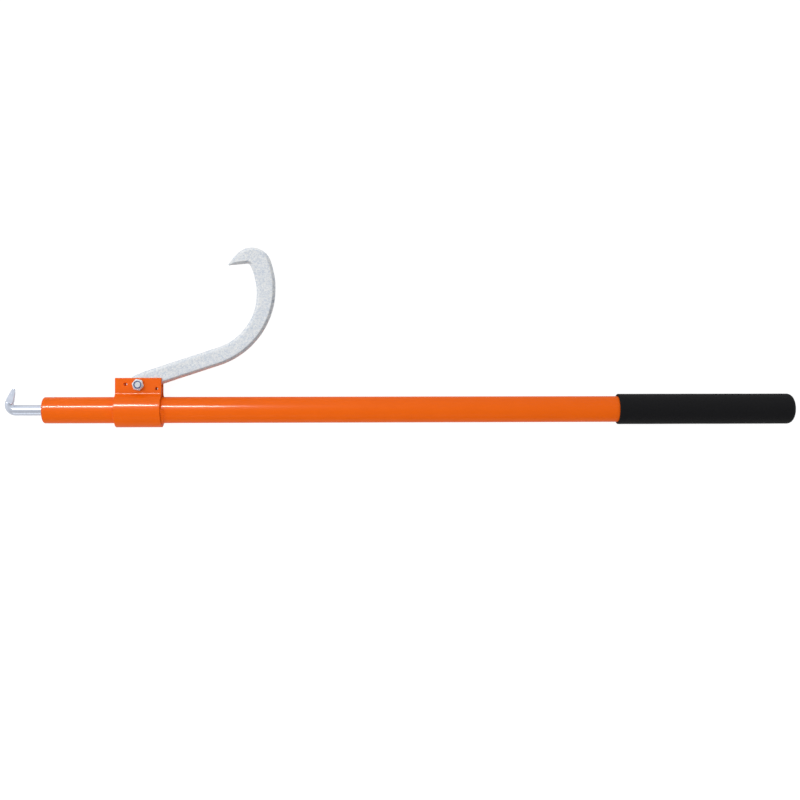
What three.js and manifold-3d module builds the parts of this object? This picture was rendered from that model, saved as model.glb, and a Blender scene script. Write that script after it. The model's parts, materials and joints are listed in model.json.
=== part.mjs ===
// Cant hook: a tubular lever with a swinging hook, for rolling and turning logs.
// Millimetres. The tool lies on its side: the tube runs along +X from the toe end to the grip,
// the hook stands out along +Y, and the hook's pivot bolt is parallel to +Z.
// Until the last lines, x is measured from the toe end and y and z from the tube's axis.
import * as THREE from 'three';
import { mergeVertices } from 'three/addons/utils/BufferGeometryUtils.js';
import Module from 'manifold-3d';

const wasm = await Module();
wasm.setup();

// ---- driving dimensions ----
const fitGap = 0.3;                     // play left between pieces that touch

const tube = { radius: 20, wall: 2, toeEnd: 60, gripEnd: 1203 };
const socket = { length: 50, bore: 8 + fitGap };
const toe = {
  radius: 8, shankEnd: 108, endChamfer: 1, bendRadius: 9, lean: 17.5, pointLength: 23, inset: 15.52,
};
// The toe hook's bar narrows in the bend's plane as it is bent, and then runs out to a point.
// Its half widths in that plane (flat) and across it (thick) are shares of the bar's radius,
// given at the bend's end and at shares of the point's length.
const toeBendFlat = 0.775;
const toeTaper = [
  { share: 0.2, flat: 0.74, thick: 0.94 },
  { share: 0.4, flat: 0.64, thick: 0.84 },
  { share: 0.66, flat: 0.5, thick: 0.64 },
  { share: 0.9, flat: 0.3, thick: 0.36 },
  { share: 1, flat: 0.13, thick: 0.16 },
];
const screw = { radius: 4, x: 73, proud: 0.4, keyAcross: 4, keyDepth: 5 };
const band = { start: 167.5, length: 69.5, thickness: 6, bendRadius: 4 };
const plate = { halfGap: 5.2, top: 49 };
const pivot = { x: 203.2, y: 38.4, boltRadius: 5 };
const pinHoles = [{ x: 183.3, y: 39.3, radius: 2.6 }, { x: 229.9, y: 32.5, radius: 2.2 }];
const toeSideWeld = { legAlong: 4.5, legUp: 3.5, topY: 4 };
const gripSideWeld = { legAlong: 6.5, legUp: 3.5, topY: 3 };
const endWeld = { inner: 14.5, outer: 19.2, height: 1.6 };
const weldBulge = { most: 1, least: 0.75 };   // the bead's surface as a share of its legs
const hex = {
  acrossFlats: 16, headHeight: 6.4, nutHeight: 7.2, collarRadius: 7.3, collarTop: 10,
  chamferAngle: 30, faceInset: 0.2,
};
const boltEnd = { proud: 0.2, chamfer: 1 };
const insert = { outer: 6.3, height: 2.4, lip: 0.6 };
const grip = {
  radius: 23.5, start: 938.5, end: 1219, cornerRadius: 9.5, cornerTurn: 78, crown: 4, lip: 1.5,
};
const plug = { flange: 2, spigot: 22, wall: 3 };

// The hook in its own frame: the pivot at the origin and the straight arm along +X. Its back edge
// is the convex one, its belly the concave one that bites the log.
const hook = {
  restAngle: 18.25,
  thickness: 9.8, bevelWidth: 4.1, bevelDepth: 2.8,
  eyeRadius: 16.2, backOffset: 9.4, bellyOffset: 17.2,
  armToBack: 124.8, backRadius: 123.7,
  armToBelly: 130.6, bellyRadius: 86, bellyTurn: 71.8, upperRadius: 106, upperTurn: 24,
  throatRadius: 6, undersideAngle: 167.4,
  crownRadius: 30, crownRise: 3.4, crownTurn: 97,
  browLength: 12.4, tip: new THREE.Vector2(185.3, 132.8), tipThickness: 2.4, tipWidth: 1.6,
  tipCut: 0.6, thinning: 1.5,
};

const radians = THREE.MathUtils.degToRad;
const tubeBore = tube.radius - tube.wall;
const bandInner = tube.radius + fitGap;
const bandOuter = bandInner + band.thickness;
const plateOuter = plate.halfGap + band.thickness;
const bandEnd = band.start + band.length;
const nutSeat = plateOuter + fitGap;
const nutTop = nutSeat + hex.collarTop;
const roundSides = 48;                  // facets round a large turned piece
const pinSides = 32;                    // facets round a small one
const mergeTolerance = 1e-4;
const cutMargin = 1;                    // how far a cutting shape runs past the skin it cuts

// ---- materials ----
function finish(color, roughness, metalness) {
  return new THREE.MeshStandardMaterial({ color, roughness, metalness });
}
const orangePaint = () => finish(0xf1681c, 0.35, 0.0);
const zincPlate = () => finish(0xc6cfd6, 0.42, 0.9);
const brightPlate = () => finish(0xd2d8df, 0.2, 1.0);
const blackRubber = () => finish(0x1c1c1f, 0.85, 0.0);
const blueNylon = () => finish(0x5a6a9c, 0.5, 0.0);
const blackPlastic = () => finish(0x262626, 0.6, 0.0);

// ---- helpers ----
// A closed three.js geometry as a solid that can be cut and joined, and back.
function toSolid(geometry) {
  const bare = geometry.clone();
  bare.deleteAttribute('normal');
  bare.deleteAttribute('uv');
  const merged = mergeVertices(bare, mergeTolerance);
  return new wasm.Manifold(new wasm.Mesh({
    numProp: 3,
    vertProperties: new Float32Array(merged.attributes.position.array),
    triVerts: new Uint32Array(merged.index.array),
  }));
}

function toGeometry(solid) {
  const mesh = solid.getMesh();
  const geometry = new THREE.BufferGeometry();
  geometry.setAttribute('position', new THREE.BufferAttribute(mesh.vertProperties, 3));
  geometry.setIndex(new THREE.BufferAttribute(mesh.triVerts, 1));
  return geometry;
}

// A turned body about the X axis, from [x, radius] pairs that run round the section.
function turned(profile, segments = roundSides) {
  const points = profile.map(([x, radius]) => new THREE.Vector2(radius, x));
  return new THREE.LatheGeometry(points, segments).rotateZ(-Math.PI / 2);
}

// A ring about the X axis with a plain rectangular section.
function turnedRing(x0, x1, inner, outer, segments = roundSides) {
  return turned([[x0, inner], [x0, outer], [x1, outer], [x1, inner], [x0, inner]], segments);
}

// A cylinder parallel to Z through (x, y), from z0 to z1; six sides make a hexagonal bar.
function pinAlongZ(radius, x, y, z0, z1, sides = pinSides) {
  return new THREE.CylinderGeometry(radius, radius, z1 - z0, sides)
    .rotateX(Math.PI / 2)
    .translate(x, y, (z0 + z1) / 2);
}

// A cylinder parallel to Y through (x, 0), from y0 to y1.
function pinAlongY(radius, x, y0, y1, sides = pinSides) {
  return new THREE.CylinderGeometry(radius, radius, y1 - y0, sides)
    .translate(x, (y0 + y1) / 2, 0);
}

// Joins rings of points into one closed skin. Each ring runs anticlockwise about the direction
// in which the rings follow each other; flat fans close the two ends.
function loft(rings) {
  const count = rings[0].length;
  const index = [];
  for (let i = 0; i < rings.length - 1; i += 1) {
    for (let j = 0; j < count; j += 1) {
      const a = i * count + j;
      const b = i * count + ((j + 1) % count);
      index.push(a, b, b + count, a, b + count, a + count);
    }
  }
  const last = (rings.length - 1) * count;
  for (let j = 1; j < count - 1; j += 1) {
    index.push(0, j + 1, j);
    index.push(last, last + j, last + j + 1);
  }
  const geometry = new THREE.BufferGeometry().setFromPoints(rings.flat());
  geometry.setIndex(index);
  return geometry;
}

function named(name, geometry, material) {
  const mesh = new THREE.Mesh(geometry, material);
  mesh.name = name;
  return mesh;
}

// ---- handle ----
function handleTube() {
  const body = toSolid(turnedRing(tube.toeEnd, tube.gripEnd, tubeBore, tube.radius));
  const hole = toSolid(pinAlongY(screw.radius + fitGap, screw.x, 0, tube.radius + cutMargin));
  return named('handle_tube', toGeometry(body.subtract(hole)), orangePaint());
}

function toeSocket() {
  const end = tube.toeEnd + socket.length;
  const body = toSolid(turnedRing(tube.toeEnd, end, socket.bore, tubeBore - fitGap));
  const hole = toSolid(pinAlongY(screw.radius + fitGap, screw.x, 0, tubeBore));
  return named('toe_socket', toGeometry(body.subtract(hole)), orangePaint());
}

// A low rounded ring over the joint between socket and tube, on the end face.
function toeSocketWeld() {
  const back = tube.toeEnd - fitGap;
  const middle = (endWeld.inner + endWeld.outer) / 2;
  const half = (endWeld.outer - endWeld.inner) / 2;
  const profile = [[back, endWeld.inner]];
  const steps = 6;
  for (let i = 1; i < steps; i += 1) {
    const turn = Math.PI * (i / steps);
    profile.push([back - endWeld.height * Math.sin(turn), middle - half * Math.cos(turn)]);
  }
  profile.push([back, endWeld.outer], [back, endWeld.inner]);
  return named('toe_socket_weld', turned(profile), orangePaint());
}

// A radial screw from the toe hook's shank out to the tube's skin, with a hexagonal key socket.
function toeSetScrew() {
  const bottom = toe.radius + fitGap;
  const top = tube.radius + screw.proud;
  const body = toSolid(pinAlongY(screw.radius, screw.x, bottom, top));
  const keyRadius = screw.keyAcross / Math.sqrt(3);
  const key = toSolid(pinAlongY(keyRadius, screw.x, top - screw.keyDepth, top + cutMargin, 6));
  return named('toe_set_screw', toGeometry(body.subtract(key)), brightPlate());
}

// The toe hook's round bar: a straight shank, a tight bend, and a tapered point that leans back
// over the tube.
function toeHook() {
  const stations = [];
  const add = (x, y, heading, flat, thick) => stations.push({ x, y, heading, flat, thick });

  const chamfered = toe.radius - toe.endChamfer;
  add(toe.shankEnd, 0, Math.PI, chamfered, chamfered);
  add(toe.shankEnd - toe.endChamfer, 0, Math.PI, toe.radius, toe.radius);

  const sweep = radians(90 + toe.lean);
  const bendSteps = 10;
  for (let i = 0; i <= bendSteps; i += 1) {
    const turn = sweep * (i / bendSteps);
    const x = toe.inset - toe.bendRadius * Math.sin(turn);
    const y = toe.bendRadius * (1 - Math.cos(turn));
    const flat = toe.radius * THREE.MathUtils.lerp(1, toeBendFlat, i / bendSteps);
    add(x, y, Math.PI - turn, flat, toe.radius);
  }

  const root = stations[stations.length - 1];
  for (const { share, flat, thick } of toeTaper) {
    const x = root.x + toe.pointLength * share * Math.cos(root.heading);
    const y = root.y + toe.pointLength * share * Math.sin(root.heading);
    add(x, y, root.heading, toe.radius * flat, toe.radius * thick);
  }

  const sides = 24;
  const rings = stations.map((station) => {
    const side = new THREE.Vector3(-Math.sin(station.heading), Math.cos(station.heading), 0);
    return Array.from({ length: sides }, (_, j) => {
      const turn = 2 * Math.PI * (j / sides);
      return new THREE.Vector3(station.x, station.y, station.thick * Math.sin(turn))
        .addScaledVector(side, station.flat * Math.cos(turn));
    });
  });
  return named('toe_hook', loft(rings), brightPlate());
}

// ---- clevis ----
// One strip: a band round the tube whose two ends turn up into parallel plates. The section is
// drawn across the tube, u to one side and v up towards the hook, and runs the band's length.
function clevisBracket() {
  const bendU = plateOuter + band.bendRadius;
  const bendV = Math.sqrt((bandOuter + band.bendRadius) ** 2 - bendU ** 2);
  const bendAngle = Math.atan2(bendV, bendU);
  const innerBend = band.bendRadius + band.thickness;
  const section = new THREE.Shape();
  section.moveTo(plateOuter, plate.top);
  section.lineTo(plate.halfGap, plate.top);
  section.absarc(bendU, bendV, innerBend, Math.PI, Math.PI + bendAngle, false);
  section.absarc(0, 0, bandInner, bendAngle, Math.PI - bendAngle, true);
  section.absarc(-bendU, bendV, innerBend, -bendAngle, 0, false);
  section.lineTo(-plate.halfGap, plate.top);
  section.lineTo(-plateOuter, plate.top);
  section.absarc(-bendU, bendV, band.bendRadius, 0, -bendAngle, true);
  section.absarc(0, 0, bandOuter, Math.PI - bendAngle, 2 * Math.PI + bendAngle, false);
  section.absarc(bendU, bendV, band.bendRadius, Math.PI + bendAngle, Math.PI, true);
  section.closePath();
  const strip = new THREE.ExtrudeGeometry(section, {
    depth: band.length, bevelEnabled: false, curveSegments: 20,
  }).rotateY(Math.PI / 2).translate(band.start, 0, 0);
  let body = toSolid(strip);
  const reach = plateOuter + cutMargin;
  const holes = [{ ...pivot, radius: pivot.boltRadius + fitGap }, ...pinHoles];
  for (const hole of holes) {
    body = body.subtract(toSolid(pinAlongZ(hole.radius, hole.x, hole.y, -reach, reach)));
  }
  return named('clevis_bracket', toGeometry(body), orangePaint());
}

// A fillet weld between the band's end face and the tube, round the side away from the hook.
function bandWeld(name, faceX, direction, weld) {
  const root = tube.radius + fitGap;
  const face = faceX + direction * fitGap;
  const steps = 4;
  const profile = [[face, root], [face, root + weld.legUp]];
  for (let i = 1; i < steps; i += 1) {
    const turn = (Math.PI / 2) * (i / steps);
    const share = Math.abs(Math.cos(2 * turn));
    const bulge = THREE.MathUtils.lerp(weldBulge.least, weldBulge.most, share);
    profile.push([
      face + direction * weld.legAlong * Math.sin(turn) * bulge,
      root + weld.legUp * Math.cos(turn) * bulge,
    ]);
  }
  profile.push([face + direction * weld.legAlong, root], [face, root]);
  if (direction < 0) profile.reverse();
  const ring = toSolid(turned(profile));
  const reach = 2 * bandOuter;
  const above = new THREE.BoxGeometry(reach, reach, 2 * reach)
    .translate(faceX, weld.topY + reach / 2, 0);
  return named(name, toGeometry(ring.subtract(toSolid(above))), orangePaint());
}

// ---- swinging hook ----
function pointOnCircle(centre, radius, degrees) {
  return new THREE.Vector2(
    centre.x + radius * Math.cos(radians(degrees)),
    centre.y + radius * Math.sin(radians(degrees)),
  );
}

// Pairs of points across the hook, one on its back and one on its belly, from the eye to the tip.
function hookStations() {
  const pairs = [];
  const add = (back, belly, toTip = 0) => pairs.push({ back, belly, toTip });

  const eyeEnd = Math.sqrt(hook.eyeRadius ** 2 - hook.backOffset ** 2);
  const eyeSteps = 12;
  for (let i = 1; i <= eyeSteps; i += 1) {
    const from = -Math.cos((Math.PI / 2) * (i / eyeSteps)) * hook.eyeRadius;
    const half = Math.sqrt(hook.eyeRadius ** 2 - from ** 2);
    add(new THREE.Vector2(from, -half), new THREE.Vector2(from, half));
  }
  for (const share of [0.35, 0.7, 1]) {
    const x = eyeEnd * share;
    const half = Math.sqrt(hook.eyeRadius ** 2 - x ** 2);
    const top = THREE.MathUtils.lerp(hook.eyeRadius, hook.bellyOffset, share);
    add(new THREE.Vector2(x, -half), new THREE.Vector2(x, top));
  }
  const backCentre = new THREE.Vector2(hook.armToBack, hook.backRadius - hook.backOffset);
  const bellyCentre = new THREE.Vector2(hook.armToBelly, hook.bellyRadius + hook.bellyOffset);
  const change = hook.bellyTurn - 90;
  const upperCentre = pointOnCircle(bellyCentre, hook.bellyRadius - hook.upperRadius, change);
  const bendSteps = 16;
  for (let i = 0; i <= bendSteps; i += 1) {
    const share = i / bendSteps;
    const backTurn = 90 * share - 90;
    const turn = (hook.bellyTurn + hook.upperTurn) * share;
    const belly = turn <= hook.bellyTurn
      ? pointOnCircle(bellyCentre, hook.bellyRadius, turn - 90)
      : pointOnCircle(upperCentre, hook.upperRadius, turn - 90);
    add(pointOnCircle(backCentre, hook.backRadius, backTurn), belly);
  }
  const crownCentre = new THREE.Vector2(
    backCentre.x + hook.backRadius - hook.crownRadius,
    backCentre.y + hook.crownRise,
  );
  const throatStart = hook.bellyTurn + hook.upperTurn - 90;
  const throatTop = pointOnCircle(upperCentre, hook.upperRadius, throatStart);
  const throatCentre = pointOnCircle(throatTop, -hook.throatRadius, throatStart);
  const throatTurn = hook.undersideAngle - 90 - throatStart;
  const crownSteps = 10;
  for (let i = 1; i <= crownSteps; i += 1) {
    const share = i / crownSteps;
    add(
      pointOnCircle(crownCentre, hook.crownRadius, hook.crownTurn * share),
      pointOnCircle(throatCentre, hook.throatRadius, throatStart + throatTurn * share),
    );
  }
  const crownEnd = pairs[pairs.length - 1].back;
  const throatEnd = pairs[pairs.length - 1].belly;
  const control = pointOnCircle(crownEnd, hook.browLength, hook.crownTurn + 90);
  const brow = new THREE.QuadraticBezierCurve(crownEnd, control, hook.tip);
  const tipBelly = new THREE.Vector2(hook.tip.x + hook.tipCut, hook.tip.y - hook.tipWidth);
  const pointSteps = 8;
  for (let i = 1; i <= pointSteps; i += 1) {
    const share = i / pointSteps;
    add(brow.getPoint(share), throatEnd.clone().lerp(tipBelly, share), share);
  }
  return pairs;
}

// The hook's section is a flat bar with all four edges bevelled; towards the tip it gets thinner.
function hookRing({ back, belly, toTip }) {
  const across = belly.clone().sub(back);
  const width = across.length();
  const bevel = Math.min(hook.bevelWidth, 0.3 * width);
  const inset = across.clone().multiplyScalar(bevel / width);
  const thickness = THREE.MathUtils.lerp(hook.thickness, hook.tipThickness, toTip ** hook.thinning);
  const half = thickness / 2;
  const rim = half * (1 - (2 * hook.bevelDepth) / hook.thickness);
  const backFlat = back.clone().add(inset);
  const bellyFlat = belly.clone().sub(inset);
  const corner = (point, z) => new THREE.Vector3(point.x, point.y, z);
  return [
    corner(back, rim), corner(back, -rim), corner(backFlat, -half), corner(bellyFlat, -half),
    corner(belly, -rim), corner(belly, rim), corner(bellyFlat, half), corner(backFlat, half),
  ];
}

function swingHook() {
  const body = toSolid(loft(hookStations().map(hookRing)));
  const eye = toSolid(pinAlongZ(pivot.boltRadius + fitGap, 0, 0, -hook.thickness, hook.thickness));
  const mesh = named('swing_hook', toGeometry(body.subtract(eye)), zincPlate());
  mesh.position.set(pivot.x, pivot.y, 0);
  mesh.rotation.z = radians(hook.restAngle);
  return mesh;
}

// ---- pivot bolt and nut, each about its own axis along Z, placed at the pivot ----
// A hexagonal bar with its outer corners turned off by a shallow cone at z1.
function hexBody(z0, z1) {
  const cornerRadius = hex.acrossFlats / Math.sqrt(3);
  const bar = toSolid(pinAlongZ(cornerRadius, 0, 0, Math.min(z0, z1), Math.max(z0, z1), 6));
  const drop = (cornerRadius - hex.acrossFlats / 2) * Math.tan(radians(hex.chamferAngle));
  const sign = Math.sign(z1 - z0);
  const outline = [
    [z0 - sign * cutMargin, 0],
    [z0 - sign * cutMargin, cornerRadius + cutMargin],
    [z1 - sign * drop, cornerRadius],
    [z1, hex.acrossFlats / 2 - hex.faceInset],
    [z1, 0],
  ];
  if (sign < 0) outline.reverse();
  return bar.intersect(toSolid(turned(outline).rotateY(-Math.PI / 2)));
}

function atPivot(mesh) {
  mesh.position.set(pivot.x, pivot.y, 0);
  return mesh;
}

function pivotBolt() {
  const end = nutTop + boltEnd.proud;
  const inHead = -nutSeat - cutMargin;
  const shank = turned([
    [inHead, 0], [inHead, pivot.boltRadius], [end - boltEnd.chamfer, pivot.boltRadius],
    [end, pivot.boltRadius - boltEnd.chamfer], [end, 0],
  ], pinSides).rotateY(-Math.PI / 2);
  const head = hexBody(-nutSeat, -nutSeat - hex.headHeight);
  return atPivot(named('pivot_bolt', toGeometry(head.add(toSolid(shank))), zincPlate()));
}

function pivotNut() {
  const bore = pivot.boltRadius + fitGap;
  const collar = toSolid(pinAlongZ(hex.collarRadius, 0, 0, nutSeat + cutMargin, nutTop));
  const hole = toSolid(pinAlongZ(bore, 0, 0, nutSeat - cutMargin, nutTop + cutMargin));
  const grooveTop = nutTop - insert.lip;
  const grooveFloor = grooveTop - insert.height - 2 * fitGap;
  const groove = toSolid(pinAlongZ(insert.outer + fitGap, 0, 0, grooveFloor, grooveTop));
  const body = hexBody(nutSeat, nutSeat + hex.nutHeight).add(collar).subtract(hole);
  return atPivot(named('pivot_nut', toGeometry(body.subtract(groove)), zincPlate()));
}

function nutInsert() {
  const top = nutTop - insert.lip - fitGap;
  const bore = pivot.boltRadius + fitGap;
  const ring = turnedRing(top - insert.height, top, bore, insert.outer, pinSides);
  return atPivot(named('pivot_nut_insert', ring.rotateY(-Math.PI / 2), blueNylon()));
}

// ---- grip ----
function gripSleeve() {
  const bore = tube.radius + fitGap;
  const boreEnd = tube.gripEnd + fitGap + plug.flange + fitGap;
  const flatEnd = grip.end - grip.crown;
  const profile = [
    [boreEnd, 0], [boreEnd, bore], [grip.start, bore],
    [grip.start, grip.radius - grip.lip], [grip.start + grip.lip, grip.radius],
  ];
  const cornerX = flatEnd - grip.cornerRadius;
  const cornerR = grip.radius - grip.cornerRadius;
  const cornerSteps = 6;
  for (let i = 0; i <= cornerSteps; i += 1) {
    const turn = radians(grip.cornerTurn) * (i / cornerSteps);
    profile.push([
      cornerX + grip.cornerRadius * Math.sin(turn),
      cornerR + grip.cornerRadius * Math.cos(turn),
    ]);
  }
  const [rimX, rimRadius] = profile[profile.length - 1];
  const crownSteps = 4;
  for (let i = 1; i <= crownSteps; i += 1) {
    const share = i / crownSteps;
    const x = rimX + (grip.end - rimX) * Math.sin((Math.PI / 2) * share);
    profile.push([x, rimRadius * (1 - share)]);
  }
  return named('grip_sleeve', turned(profile), blackRubber());
}

// A cup pressed into the tube: its flange covers the tube's cut end under the grip.
function tubeEndPlug() {
  const face = tube.gripEnd + fitGap;
  const inner = tube.gripEnd - plug.spigot;
  const outer = tubeBore - fitGap;
  const profile = [
    [inner, outer - plug.wall], [inner, outer], [face, outer], [face, tube.radius],
    [face + plug.flange, tube.radius], [face + plug.flange, 0], [face, 0],
    [face, outer - plug.wall], [inner, outer - plug.wall],
  ];
  return named('tube_end_plug', turned(profile), blackPlastic());
}

// ---- assembly ----
const tool = new THREE.Group();
tool.add(handleTube(), toeSocket(), toeSocketWeld(), toeSetScrew(), toeHook());
tool.add(clevisBracket());
tool.add(bandWeld('clevis_weld_toe_side', band.start, -1, toeSideWeld));
tool.add(bandWeld('clevis_weld_grip_side', bandEnd, 1, gripSideWeld));
tool.add(swingHook(), pivotBolt(), pivotNut(), nutInsert());
tool.add(gripSleeve(), tubeEndPlug());

// The finished object's origin is the bottom centre of its box as it lies.
const box = new THREE.Box3().setFromObject(tool, true);
const centre = box.getCenter(new THREE.Vector3());
tool.position.set(-centre.x, -centre.y, -box.min.z);

const group = new THREE.Group();
group.add(tool);

export default group;
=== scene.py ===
# %% [markdown]
# # A cant hook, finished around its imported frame
# A cant hook rolls logs. A steel tube is the lever, a short toe hook at its end bites the bark,
# and a long forged hook swings on a bolt in a welded clevis and grips the log's far side.
# The frame below already knows where every part is and how the hook turns. This script gives
# each part its fine surface and its finish, and puts the camera and the lights around it.

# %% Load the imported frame
import json

import bpy
import numpy as np
from mathutils import Matrix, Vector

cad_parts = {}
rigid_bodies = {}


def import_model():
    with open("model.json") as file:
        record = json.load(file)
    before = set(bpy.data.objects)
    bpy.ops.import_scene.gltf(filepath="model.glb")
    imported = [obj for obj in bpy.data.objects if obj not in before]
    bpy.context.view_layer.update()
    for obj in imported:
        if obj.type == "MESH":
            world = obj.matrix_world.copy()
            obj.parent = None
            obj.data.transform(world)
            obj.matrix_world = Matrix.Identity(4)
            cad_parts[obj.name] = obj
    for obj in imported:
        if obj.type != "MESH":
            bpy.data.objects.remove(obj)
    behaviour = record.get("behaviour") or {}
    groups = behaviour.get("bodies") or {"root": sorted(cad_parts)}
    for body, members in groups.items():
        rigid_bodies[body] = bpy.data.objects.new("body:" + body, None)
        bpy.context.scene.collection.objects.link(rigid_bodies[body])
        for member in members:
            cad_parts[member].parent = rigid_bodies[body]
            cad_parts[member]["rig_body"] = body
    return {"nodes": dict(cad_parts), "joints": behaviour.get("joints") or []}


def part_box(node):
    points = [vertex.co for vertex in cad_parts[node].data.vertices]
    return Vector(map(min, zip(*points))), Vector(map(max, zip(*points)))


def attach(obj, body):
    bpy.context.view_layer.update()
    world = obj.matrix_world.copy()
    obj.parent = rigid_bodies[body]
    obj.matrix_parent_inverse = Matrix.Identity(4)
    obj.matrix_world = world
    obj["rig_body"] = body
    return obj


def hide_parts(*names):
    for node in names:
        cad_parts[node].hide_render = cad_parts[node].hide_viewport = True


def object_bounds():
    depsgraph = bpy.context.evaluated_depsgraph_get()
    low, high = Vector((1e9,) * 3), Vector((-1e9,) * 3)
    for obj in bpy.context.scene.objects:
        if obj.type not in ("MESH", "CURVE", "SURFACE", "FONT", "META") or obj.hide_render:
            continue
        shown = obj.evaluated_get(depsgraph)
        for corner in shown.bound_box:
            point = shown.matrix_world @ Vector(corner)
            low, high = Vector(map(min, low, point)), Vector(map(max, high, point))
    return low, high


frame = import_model()
cad_low, cad_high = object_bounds()
scene = bpy.context.scene
print("CAD box in metres:", tuple(cad_low), tuple(cad_high))

# %% [markdown]
# ## One datum for every piece
# A maker measures this tool from its toe end and from the middle of the tube, so the pieces
# below are worked out in millimetres from that point. One function turns those millimetres
# into the frame's metres, and another gives a CAD part's corners in the maker's millimetres.

# %% The datum and the driving sizes
MM = 0.001
tube_low, tube_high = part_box("handle_tube")
datum = np.array([
    cad_low.x,
    (tube_low.y + tube_high.y) / 2,
    (tube_low.z + tube_high.z) / 2,
])


def span(node):
    """Lowest and highest corner of a CAD node, in millimetres from the datum."""
    low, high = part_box(node)
    return (np.array(low) - datum) / MM, (np.array(high) - datum) / MM


fit_gap = 0.3
wall = 2.0
tube_start = span("handle_tube")[0][0]
tube_end, tube_radius, _ = span("handle_tube")[1]
tube_bore = tube_radius - wall
pivot = (np.array(frame["joints"][0]["pos_m"]) - datum) / MM
print("tube", tube_start, "to", tube_end, "radius", tube_radius, "pivot", pivot)

# %% [markdown]
# ## Camera
# The tool is seen from straight above as it lies, from a stand 1.4 tool lengths up. It stands
# a little nearer the toe end, leans a few degrees towards the grip and is rolled by a hair, so
# the nearer end is drawn a little larger.

# %% Camera
tool_length = (cad_high.x - cad_low.x) / MM
camera_height = 1.4045 * tool_length
camera_along = 0.4313 * tool_length
camera_across = 14.6
camera_lean = np.radians(2.5)
camera_roll = np.radians(-0.11)

camera_data = bpy.data.cameras.new("camera")
camera_data.lens = 50
camera_data.sensor_width = 36
camera = bpy.data.objects.new("camera", camera_data)
scene.collection.objects.link(camera)
camera.location = datum + MM * np.array([camera_along, camera_across, camera_height])
turn = Matrix.Rotation(-camera_lean, 3, "Y") @ Matrix.Rotation(camera_roll, 3, "Z")
camera.rotation_euler = turn.to_euler()
scene.camera = camera
scene.view_settings.view_transform = "Standard"
print("camera at", tuple(round(c, 4) for c in camera.location))

# %% [markdown]
# ## Light
# Long bright metal needs something to mirror. A pale room, brighter on the toe and hook side than
# on the other, gives every round surface a light flank and a darker one. A key light over the
# toe end and a lower fill on the side away from the hook light the colours and aren't mirrored.
# Four more lights are only mirrored, each by one slot's pieces: a narrow one draws the thin
# line along the paint, two shape the toe bar, and one lifts the hook's flat face.

# %% Room and lights
room = bpy.data.worlds.new("pale room")
scene.world = room
room.use_nodes = True
room_nodes, room_links = room.node_tree.nodes, room.node_tree.links
direction = room_nodes.new("ShaderNodeTexCoord")
towards_window = room_nodes.new("ShaderNodeVectorMath")
towards_window.operation = "DOT_PRODUCT"
towards_window.inputs[1].default_value = (-0.6, 0.8, 0.0)
room_tone = room_nodes.new("ShaderNodeMapRange")
room_tone.interpolation_type = "SMOOTHSTEP"
for label, value in (("From Min", -1.0), ("From Max", 1.0), ("To Min", 0.38), ("To Max", 1.04)):
    room_tone.inputs[label].default_value = value
room_links.new(direction.outputs["Generated"], towards_window.inputs[0])
room_links.new(towards_window.outputs["Value"], room_tone.inputs["Value"])
room_links.new(room_tone.outputs["Result"], room_nodes["Background"].inputs["Strength"])
room_nodes["Background"].inputs["Color"].default_value = (0.98, 0.99, 1.0, 1.0)

light_distance = 1.6      # metres from the tube's axis


def hang_light(name, start, end, width, power, tilt):
    """A rectangular light along the tool, from start to end in metres from the toe. It hangs at
    the common distance, tilted by degrees from straight overhead towards the hook's side, and
    faces the tube's axis."""
    tilt = np.radians(tilt)
    data = bpy.data.lights.new(name, "AREA")
    data.shape = "RECTANGLE"
    data.size, data.size_y = end - start, width
    data.energy = power
    lamp = bpy.data.objects.new(name, data)
    scene.collection.objects.link(lamp)
    lamp.location = datum + np.array([
        (start + end) / 2, light_distance * np.sin(tilt), light_distance * np.cos(tilt)])
    lamp.rotation_euler = (-tilt, 0, 0)
    print(name, round(data.size, 3), "by", width, "m at", tuple(round(c, 3) for c in lamp.location))
    return lamp


for lamp in (hang_light("key", -0.46, 0.19, width=0.5, power=6.5, tilt=16),
             hang_light("fill", -0.2, 1.2, width=0.5, power=5.5, tilt=-55)):
    lamp.visible_glossy = False

# slot, name, start, end, width, power, tilt
mirrored_lights = (
    ("orange_paint", "line on the paint", -0.8, 0.03, 0.07, 75.0, 32),
    ("bright_plate", "line on the toe bar", -0.8, 0.03, 0.12, 6.0, 32),
    ("bright_plate", "glow on the toe bar", -0.8, 0.5, 0.7, 2.2, -68),
    ("zinc_forging", "glow on the hook", -0.3, 0.5, 0.5, 0.35, 8),
)
lit_pieces = {row[0]: bpy.data.collections.new(f"pieces in {row[0]}") for row in mirrored_lights}
for slot, name, *placing in mirrored_lights:
    lamp = hang_light(name, *placing)
    lamp.visible_diffuse = False
    lamp.light_linking.receiver_collection = lit_pieces[slot]

# %% [markdown]
# ## Floor
# The tool lies on a plain pale table. For the camera alone the table is a darker paint with its
# own glow, which adds up to an even white with hardly a shadow. Every other ray meets an
# ordinary pale surface, so the tool gets the soft light that a table throws back.

# %% Table
table_half = 12.0
table_tone, table_seen, table_glow = 0.8, 0.15, 0.93
table_mesh = bpy.data.meshes.new("table")
table_mesh.from_pydata(
    [(x * table_half, y * table_half, cad_low.z) for x, y in ((-1, -1), (1, -1), (1, 1), (-1, 1))],
    [], [(0, 1, 2, 3)])
table = bpy.data.objects.new("table", table_mesh)
scene.collection.objects.link(table)

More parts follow.
